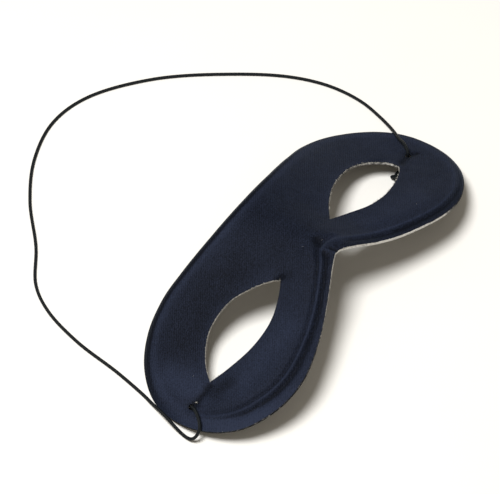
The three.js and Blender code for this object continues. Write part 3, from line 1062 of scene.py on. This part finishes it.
class MASK_OT_sheet(bpy.types.Operator):
    """Presses the cloth-faced sheet with its rim, eye holes and cord holes"""

    bl_idname = "mask.sheet"
    bl_label = "Pressed sheet"

    def execute(self, context):
        props = context.scene.mask_sheet
        noise.seed_set(WALL_SEED)
        sheet = SheetMesh()
        add_half(sheet, 1)
        add_half(sheet, -1)
        points = np.vstack(sheet.points) + SHEET_ORIGIN
        mesh = mesh_from("pressed_sheet", points, sheet.faces)
        mesh.polygons.foreach_set("material_index", sheet.kinds)
        for name, values in (("tone", sheet.tones), ("bare", sheet.bareness)):
            attribute = mesh.attributes.new(name, "FLOAT", "POINT")
            attribute.data.foreach_set("value", np.concatenate(values).astype(float))
        weld(mesh)
        cloth, core, backing = pressed_navy_cloth(props), cut_core(props), stiffened_backing(props)
        obj = link("pressed_sheet", mesh, [cloth, core, backing])
        self.punch(context, obj, core)
        obj.data.shade_smooth()
        obj.data.set_sharp_from_angle(angle=math.radians(SHEET_EDGE_ANGLE))
        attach(obj, "root")
        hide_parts("mask")
        return {"FINISHED"}

    @staticmethod
    def punch(context, obj, core):
        """Cuts the two cord holes."""
        pins = bmesh.new()
        radius = CORD_HOLE_RADIUS * MM
        for x, y in CORD_HOLES:
            made = bmesh.ops.create_cone(pins, cap_ends=True, segments=PUNCH_SIDES, depth=PUNCH_LENGTH * MM,
                                         radius1=radius, radius2=radius)
            place = Vector((x, y, 0)) + Vector(SHEET_ORIGIN)
            bmesh.ops.translate(pins, verts=made["verts"], vec=place * MM)
        mesh = bpy.data.meshes.new("punch")
        pins.to_mesh(mesh)
        pins.free()
        punch = link("punch", mesh, [core])
        cut = obj.modifiers.new("punch", "BOOLEAN")
        cut.operation = "DIFFERENCE"
        cut.object = punch
        cut.solver = "EXACT"
        cut.material_mode = "TRANSFER"
        context.view_layer.update()
        evaluated = obj.evaluated_get(context.evaluated_depsgraph_get())
        punched = bpy.data.meshes.new_from_object(evaluated)
        obj.modifiers.remove(cut)
        obj.data = punched
        bpy.data.objects.remove(punch)


class MASK_OT_fibres(bpy.types.Operator):
    """Adds the frayed fibres of the cut edges and the lint on the face"""

    bl_idname = "mask.fibres"
    bl_label = "Fibres and lint"

    def execute(self, context):
        props = context.scene.mask_fibres
        draw = random.Random(props.seed)
        radius = mm(props.radius)
        frayed = []
        for side, edge, start, end, count, longest in FRAYED:
            for _ in range(round(count * props.density)):
                root, away = edge_place(side, edge, draw.uniform(start, end))
                depth = draw.uniform(0, FIBRE_ROOTS[edge]) * SHEET
                lean = away * draw.uniform(*FIBRE_LEAN) + (0, 0, draw.uniform(*FIBRE_RISE))
                length = longest * draw.uniform(*FIBRE_LENGTHS)
                frayed.append(fibre_line(draw, root - (0, 0, depth), lean, length))
        (x, y), count, longest = TUFT
        for _ in range(count):
            lean = np.array([draw.uniform(-1, 1), draw.uniform(-1, 1), TUFT_RISE])
            frayed.append(fibre_line(draw, face_point(x, y), lean, longest * draw.uniform(*TUFT_LENGTHS)))
        lint = []
        for x, y in LINT_PLACES:
            angle = draw.uniform(0, 2 * math.pi)
            lean = np.array([math.cos(angle), math.sin(angle), LINT_RISE])
            root = face_point(x, y) + (0, 0, radius)
            lint.append(fibre_line(draw, root, lean, draw.uniform(*LINT_LENGTHS)))
        material = loose_fibres(props)
        for name, lines in (("frayed_fibres", frayed), ("lint", lint)):
            obj = self.tufts(name, lines, radius, material)
            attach(obj, "root")
        return {"FINISHED"}

    @staticmethod
    def tufts(name, lines, radius, material):
        """One object of many little tubes that thin out to their tips."""
        points, faces = [], []
        for line in lines:
            radii = radius * np.linspace(1, FIBRE_TIP, len(line))
            tube, quads, _ = tube_mesh(line, radii, FIBRE_SIDES)
            faces += [tuple(corner + len(points) for corner in quad) for quad in quads]
            points += tube
        mesh = mesh_from(name, np.array(points) + SHEET_ORIGIN, faces)
        mesh.shade_smooth()
        return link(name, mesh, [material])


def face_point(x, y):
    return np.array([x, y, float(face_height(np.array(x), np.array(y)))])


def edge_place(side, edge, share):
    """A point on the face's edge and the direction away from the sheet there."""
    if edge == "rim":
        points, inward, shares = half_edge()
        place = [np.interp(share, shares, column) for column in (*points.T, *-inward.T)]
        place[0] += side * CUT_SHIFT[0]
        place[1] += CUT_SHIFT[1]
        drop = BEADED_RIM[0][1]
    else:
        lower, upper = eye_lids(side)
        line, turn = (lower, 1) if edge == "lower" else (upper, -1)
        step = 0.01
        here, ahead = at_shares(line, [share, min(1, share + step)])
        behind = at_shares(line, [max(0, share - step)])[0]
        dx, dy = ahead - behind
        length = math.hypot(dx, dy)
        place = [*here, -turn * dy / length, turn * dx / length]
        drop = -LID_ROLL
    x, y, away_x, away_y = place
    root = face_point(side * x, y) + (0, 0, drop)
    return root, np.array([side * away_x, away_y, 0])


def fibre_line(draw, root, lean, length):
    """A fibre that starts in the sheet and curls at random."""
    heading = np.array(lean, float)
    line = [np.array(root, float)]
    for _ in range(FIBRE_STEPS):
        heading = heading / np.linalg.norm(heading)
        line.append(line[-1] + heading * length / FIBRE_STEPS)
        heading = heading + [draw.uniform(-FIBRE_CURL, FIBRE_CURL) for _ in range(3)]
    return np.array(line)


class MASK_PT_panel(bpy.types.Panel):
    """Lists the mask's pieces and their sizes and colours"""

    bl_idname = "MASK_PT_panel"
    bl_label = "Domino mask"
    bl_space_type = "VIEW_3D"
    bl_region_type = "UI"
    bl_category = "Mask"

    def draw(self, context):
        for operator, group in PANEL_ROWS:
            box = self.layout.box()
            box.operator(operator.bl_idname)
            props = getattr(context.scene, group)
            for name in props.__annotations__:
                box.prop(props, name)


PROPERTY_GROUPS = {
    "mask_stage": MaskStageProperties,
    "mask_cord": MaskCordProperties,
    "mask_sheet": MaskSheetProperties,
    "mask_fibres": MaskFibreProperties,
}
PANEL_ROWS = [
    (MASK_OT_stage, "mask_stage"),
    (MASK_OT_cord, "mask_cord"),
    (MASK_OT_sheet, "mask_sheet"),
    (MASK_OT_fibres, "mask_fibres"),
]
CLASSES = [*PROPERTY_GROUPS.values(), *[operator for operator, _ in PANEL_ROWS], MASK_PT_panel]


def register():
    for cls in CLASSES:
        bpy.utils.register_class(cls)
    for name, group in PROPERTY_GROUPS.items():
        setattr(bpy.types.Scene, name, bpy.props.PointerProperty(type=group))


def unregister():
    for name in PROPERTY_GROUPS:
        delattr(bpy.types.Scene, name)
    for cls in reversed(CLASSES):
        bpy.utils.unregister_class(cls)


def main():
    register()
    bpy.ops.mask.stage()
    bpy.ops.mask.cord()
    bpy.ops.mask.sheet()
    bpy.ops.mask.fibres()


if __name__ == "__main__":
    main()
